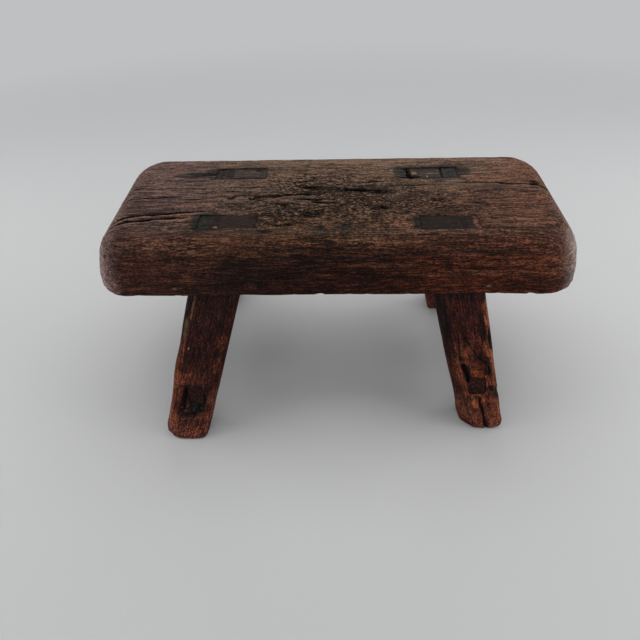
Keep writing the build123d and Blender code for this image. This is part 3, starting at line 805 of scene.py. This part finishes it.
for number, (corner, (foot, top)) in enumerate(leg_centres.items()):
    leg = f"{corner}_leg"
    piece = copy_in_cells(f"{leg}_hewn", leg, squeeze=(1, 1, 0.5), depth=7)
    wear_foot(piece.data, *foot_smooth[corner])
    places, normals = read_points(piece.data)
    rise = places[:, 2] / plank_top
    along = places.copy()  # places from the leg's own centre line
    along[:, :2] -= foot + np.subtract(top, foot) * rise[:, None]
    right, back, up = along.T
    seed = 11.3 * (number + 1)
    below = smooth(plank_under + 2, plank_under - 4, up)
    ends = np.clip(1 - (up.max() - up) / joint_depth, 0, 1)
    wobble = noise_at(places, (4, 4, 5), seed + 2)
    wave = noise_at(along, (18, 18, 34), seed) * 0.7 + noise_at(along, (6, 6, 22), seed + 5) * 0.35
    comb = np.clip(noise_at(along, (2.2, 2.2, 26), seed + 9), 0, 1) * 0.5
    depth = below * (wave + comb)
    hollow = np.clip(depth - 1.1, 0, 1)

    # splits, holes and tool marks in its front, cuts in its end
    front = smooth(-6, -12, back)
    face = along[:, (0, 2)]
    shaken = face + np.outer(noise_at(along, (6, 6, 4), seed=31.0), (0.9, 0))
    for course, width, deep in leg_cuts.get(corner, []):
        gap = along_course(shaken, course)[0]
        cut = deep * np.exp(-((gap / (width * (1 + 0.6 * wobble))) ** 2)) * front
        depth = np.maximum(depth, cut)
        hollow = np.maximum(hollow, cut / 1.5)
    holes = [(face, front, 4, 2.6, *hole) for hole in leg_holes.get(corner, [])]
    holes += [(places[:, :2], ends, 3, 2.4, *cut) for cut in end_cuts[corner]]
    for points, within, power, darkest, *middle, half_width, half_height, deep in holes:
        reach = (np.abs((points - middle) / (half_width, half_height)) ** power).sum(axis=1)
        cut = deep * smooth(1.4, 0.4, reach + 0.8 * wobble) * within
        depth = np.maximum(depth, cut)
        hollow = np.maximum(hollow, cut / darkest)
    depth += ends * (0.35 + 0.5 * noise_at(places, (5, 2.4, 5), seed + 4))
    for *middle, half_width, half_height, deep, slant, pace in tool_marks.get(corner, []):
        reach = (((face - middle) / (half_width, half_height)) ** 4).sum(axis=1)
        marks = smooth(1.2, 0.5, reach) * front
        depth += marks * deep * (1 + np.sin((up + slant * right) * pace))
    depth = np.clip(depth, -0.4, 4)

    # the edge of its sole is nearly sharp, the cut corner of the right foot is round, and
    # the left faces of the front legs are hewn uneven
    bevel = smooth(0.2, 0.35, -normals[:, 2]) * smooth(0.95, 0.9, -normals[:, 2])
    left_face = smooth(0.5, 0.8, -normals[:, 0])
    depth -= sole_edge * bevel * smooth(3, 1.5, up)
    if corner == "front_right":
        depth -= 1.2 * bevel * (smooth(0, 7, up) * smooth(22, 14, up) * smooth(-2, -8, right))
        depth += 1.4 * smooth(80, 20, up) * left_face
    if corner == "front_left":
        swell = 1.3 * smooth(80, 110, up) + 2.2 * np.exp(-(((up - 70) / 18) ** 2))
        depth -= (swell + 1.0 * smooth(20, 5, up)) * left_face * below
    push = np.where(ends[:, None] > 0, (0, 0, 1), normals)
    places -= push * depth[:, None]

    # its foot draws in at the floor
    worn = np.clip((foot_round - up) / foot_round, 0, 1)
    draw = foot_wear * (1 - np.sqrt(1 - worn**2)) + 0.5 * worn * noise_at(along, (9, 9, 9), seed + 7)
    reach = np.linalg.norm(along[:, :2], axis=1) + 1e-6
    places[:, :2] -= along[:, :2] / reach[:, None] * (draw * smooth(3, 14, reach))[:, None]

    # its long edges are worn round, most at the foot
    radius = foot_corner[corner] + (long_edge - foot_corner[corner]) * smooth(0, 120, up)
    half = leg_half - np.outer(rise, (leg_taper, 0))
    beyond = np.abs(along[:, :2]) - half + radius[:, None]
    far = np.linalg.norm(beyond, axis=1)
    outer = (beyond > 0).all(axis=1) & (far > radius)
    pull = np.where(outer, 1 - radius / np.maximum(far, 1e-6), 0) * below
    places[:, :2] -= np.sign(along[:, :2]) * beyond * pull[:, None]
    if corner == "front_right":
        worn_up = smooth(6, 22, right) * smooth(8, -12, back) * smooth(14, 0, up)
        places[:, 2] += corner_lift * worn_up
    places[:, 2] = np.maximum(places[:, 2], 0)

    marks = {"hollow": hollow}
    for mark, patches in (("dark", dirt_and_shade_patches), ("warm", red_and_highlight_patches), ("pale", pale_and_highlight_patches)):
        on_face = [(x, face_place, z, half_width, face_reach, half_height, strength)
                   for x, z, half_width, half_height, strength in patches.get(corner, [])]
        marks[mark] = patches_at(along, on_face, 0.35 * wobble)
    marks["pale"] = np.maximum(marks["pale"], patches_at(places, end_chips[corner], 0.2 * wobble))
    marks["dark"] = np.maximum(marks["dark"], patches_at(places, end_dirt[corner], 0.5 * wobble))
    set_points(piece.data, places, along=along + seed * 10 * np.array((1, 1, 0)), **marks)
    piece.data.materials.append(leg_wood(f"{leg}_wood", end_colours[corner]))
    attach(piece, "root")
    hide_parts(leg)

# Seat wedges. A wooden wedge driven in at the outer end of each leg's tenon and worn down
# with the top: dark, cracked end grain. The right half of the front right one has worn to
# the colour of the seat round it.
seat_wedges = {  # how deep each has worn, its shades, and from where it has the seat's
    "front_left": (0.6, ((16, 16, 13), (34, 32, 27), (62, 56, 46)), None),
    "front_right": (0.4, ((18, 14, 12), (35, 28, 24), (52, 42, 35)), 110.6),
    "back_left": (0.9, ((18, 17, 16), (42, 37, 33), (74, 64, 57)), None),
    "back_right": (0.5, ((20, 20, 19), (46, 43, 40), (70, 66, 61)), None),
}


def end_wood(name, shades, size, seat_from=None):
    """End of a wedge: its dark, middle and light in patches of a size, and the seat's shades
    from a place on to the right"""
    material, start = new_material(name)
    place = start.place()
    fibre = place.patches(size, detail=3, rough=0.6)
    mottle = place.patches((6, 6, 6), detail=4, rough=0.6)
    tone = fibre.swing(0.9) + mottle.swing(1.1) + 0.5
    colour = tone.coloured((0.25, 0.5, 0.78), shades)
    if seat_from:
        seat_tone = fibre.swing(1.2) + mottle.swing(0.8) + 0.5
        share = (place.axis("X") + mottle.swing(1.2)).between(seat_from, seat_from + 0.6)
        colour = share.mix(colour, seat_tone.shaded(*orange_shades))
    finish_wood(material, colour, 0.8 + mottle.swing(0.3), fibre * 0.5 + mottle * 0.6, 0.6)
    return material


for corner, (wear, shades, seat_from) in seat_wedges.items():
    node = f"{corner}_seat_wedge"
    piece = copy_in_cells(f"{node}_driven", node, squeeze=(1, 1, 1), depth=6)
    places = read_points(piece.data)[0]
    head = np.clip(1 - (places[:, 2].max() - places[:, 2]) / joint_depth, 0, 1)
    pits = 1 + 1.1 * noise_at(places, (5, 6, 6), seed=3.0) + 0.5 * noise_at(places, (2, 2.6, 4), seed=7.0)
    places[:, 2] -= np.clip(head * wear * pits, 0, 3.5)
    set_points(piece.data, places)
    piece.data.materials.append(end_wood(f"{corner}_wedge_wood", shades, (2, 2, 24), seat_from))
    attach(piece, "root")
    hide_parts(node)

# Stretchers. A bar between the front and back leg at each end, in the legs' wood, with its
# ends shouldered down to tenons that go right through the legs.
tenon_end_colour = (34, 24, 25)
read_from = 60  # height in a leg's wood at which the middle of a bar takes its pattern
bar_to, tenon_from = 80, 100  # from the middle, where its wear fades out and its tenons begin
for number, end in enumerate(("left", "right")):
    node = f"{end}_stretcher"
    piece = copy_in_cells(f"{node}_hewn", node, squeeze=(1, 0.5, 1), depth=7)
    places, normals = read_points(piece.data)
    seed = 40 + 9 * number
    along = places[:, (0, 2, 1)] * (1, 1, -1) + (seed * 10, seed * 10, read_from)
    wave = noise_at(places, (12, 30, 12), seed) * 0.6 + noise_at(places, (4, 18, 4), seed + 3) * 0.3
    bar = smooth(tenon_from, bar_to, np.abs(places[:, 1]))
    depth = np.clip(0.35 + wave, 0, 2) * bar
    tips = smooth(0.6, 0.9, np.abs(normals[:, 1])) * (1 - bar)
    depth += tips * (0.4 + 0.3 * noise_at(places, (4, 4, 4), seed + 6))
    places -= normals * depth[:, None]
    nothing = np.zeros(len(places))
    set_points(piece.data, places, along=along, hollow=np.clip(depth - 1, 0, 1), dark=tips * 0.7,
               warm=nothing, pale=nothing)
    piece.data.materials.append(leg_wood(f"{end}_stretcher_wood", tenon_end_colour))
    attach(piece, "root")
    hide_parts(node)

# Stretcher wedges. A small wooden wedge that locks each stretcher's tenon: orange where its
# end has rubbed clean, and green black where dirt fills the hole round it.
dull_shades = ((36, 18, 12), (74, 38, 25), (114, 64, 43))
stretcher_wedges = {  # how deep each has worn, and its shades
    "front_left": (1.8, ((12, 12, 10), (28, 29, 24), (54, 56, 44))),
    "front_right": (0.3, ((58, 27, 16), (108, 52, 30), (150, 82, 50))),
    "back_left": (0.5, dull_shades),
    "back_right": (0.5, dull_shades),
}
for corner, (wear, shades) in stretcher_wedges.items():
    node = f"{corner}_stretcher_wedge"
    piece = copy_in_cells(f"{node}_driven", node, squeeze=(1, 1, 1), depth=6)
    places, normals = read_points(piece.data)
    tips = smooth(0.5, 0.9, np.abs(normals[:, 1]))
    depth = 0.1 + 0.2 * noise_at(places, (3, 3, 3), seed=5.0)
    depth = depth + tips * wear * (1 + noise_at(places, (3, 3, 3), seed=8.0))
    places -= normals * np.clip(depth, 0, 3)[:, None]
    set_points(piece.data, places)
    piece.data.materials.append(end_wood(f"{corner}_key_wood", shades, (2, 12, 2)))
    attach(piece, "root")
    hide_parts(node)

# Floor and backdrop. One pale matt sheet, flat round the stool and curved up all round to a
# wall. For the camera it fades, a little behind the stool, to one even pale tone.
flat_floor = 2.6  # metres from the middle to where the sheet curves up
curve = 0.6
wall_top = 2.6
darker_from, darkest_from = 0.15, 1.3  # metres behind the middle
fade_from, faded_from = 0.6, 1.3  # metres from the middle
sheet = bmesh.new()
outline = [(0, 0, 0), (flat_floor, 0, 0)]
outline += [(flat_floor + curve * math.sin(bent), 0, curve - curve * math.cos(bent))
            for bent in np.linspace(0, math.pi / 2, 17)[1:]]
outline += [(flat_floor + curve, 0, wall_top)]
corners = [sheet.verts.new(point) for point in outline]
line = [sheet.edges.new(pair) for pair in zip(corners, corners[1:])]
bmesh.ops.spin(
    sheet, geom=corners + line, cent=(0, 0, 0), axis=(0, 0, 1), angle=math.tau, steps=96,
    use_merge=True,
)
bmesh.ops.remove_doubles(sheet, verts=sheet.verts, dist=1e-5)
sheet_middle = Vector((0, 0, 0.8))
for face in sheet.faces:
    if face.normal.dot(sheet_middle - face.calc_center_median()) < 0:
        face.normal_flip()
floor_mesh = bpy.data.meshes.new("studio_floor")
sheet.to_mesh(floor_mesh)
sheet.free()
floor = bpy.data.objects.new("studio_floor", floor_mesh)
scene.collection.objects.link(floor)
floor_mesh.polygons.foreach_set("use_smooth", [True] * len(floor_mesh.polygons))
floor_paint, start = new_material("floor_paint")
spot = start.node("TexCoord", {}, {}, "Object")
behind = spot.axis("Y").between(darker_from, darkest_from)
shade = behind.mix(paint(190, 190, 190), paint(172, 173, 174))
paper = start.node("BsdfPrincipled", {}, {"Base Color": shade, "Roughness": 0.9})
haze = start.node("Emission", {}, {"Color": paint(191, 192, 194), "Strength": 1.0})
seen = start.node("LightPath", {}, {}, "Is Camera Ray")
far = spot.length().between(fade_from, faded_from) * seen
surface = start.node("MixShader", {}, {0: far, 1: paper, 2: haze})
start.node("OutputMaterial", {}, {"Surface": surface}, None)
floor_mesh.materials.append(floor_paint)

# Light. A pale studio: soft lamps overhead and at both sides, a wide one in front, and a
# low one behind that puts a sheen on the back of the top.
world = bpy.data.worlds.new("studio_air")
world.use_nodes = True
world.node_tree.nodes["Background"].inputs["Color"].default_value = paint(225, 228, 232)
world.node_tree.nodes["Background"].inputs["Strength"].default_value = 0.42
scene.world = world
lamps = {  # place, the point that it faces, width, height and power
    "overhead_lamp": ((0, 0.2, 1.25), (0, 0, 0.1), 1.4, 1, 7),
    "left_lamp": ((-1.1, 0, 0.45), (0, 0, 0.12), 1.2, 0.9, 6.3),
    "right_lamp": ((1.1, 0, 0.45), (0, 0, 0.12), 1.2, 0.9, 7.9),
    "back_lamp": ((0, 1.5, 0.75), (0, 0, 0.18), 1.6, 0.5, 7),
    "front_lamp": ((0, -1.5, 0.8), (0, 0, 0.1), 1.8, 0.9, 8.1),
}
for name, (place, aim, width, height, power) in lamps.items():
    light = bpy.data.lights.new(name, "AREA")
    light.shape = "RECTANGLE"
    light.size = width
    light.size_y = height
    light.energy = power
    lamp = bpy.data.objects.new(name, light)
    lamp.location = place
    lamp.rotation_euler = (Vector(aim) - Vector(place)).to_track_quat("-Z", "Y").to_euler()
    scene.collection.objects.link(lamp)

# Camera. Where the photograph was taken from: in front of the stool, close to its middle
# line, looking down on it and a little to the left.
camera_turn, camera_down, camera_roll = 2.283, 39.003, -1.741  # degrees
camera_data = bpy.data.cameras.new("camera")
camera_data.sensor_width = 36
camera_data.lens = 33.75
camera = bpy.data.objects.new("camera", camera_data)
camera.location = (0.00224, -0.47707, 0.43099)
turn = Matrix.Rotation(math.radians(camera_turn), 3, "Z")
tilt = Matrix.Rotation(math.radians(90 - camera_down), 3, "X")
roll = Matrix.Rotation(math.radians(camera_roll), 3, "Z")
camera.rotation_euler = (turn @ tilt @ roll).to_euler()
scene.collection.objects.link(camera)
scene.camera = camera
scene.view_settings.view_transform = "Standard"
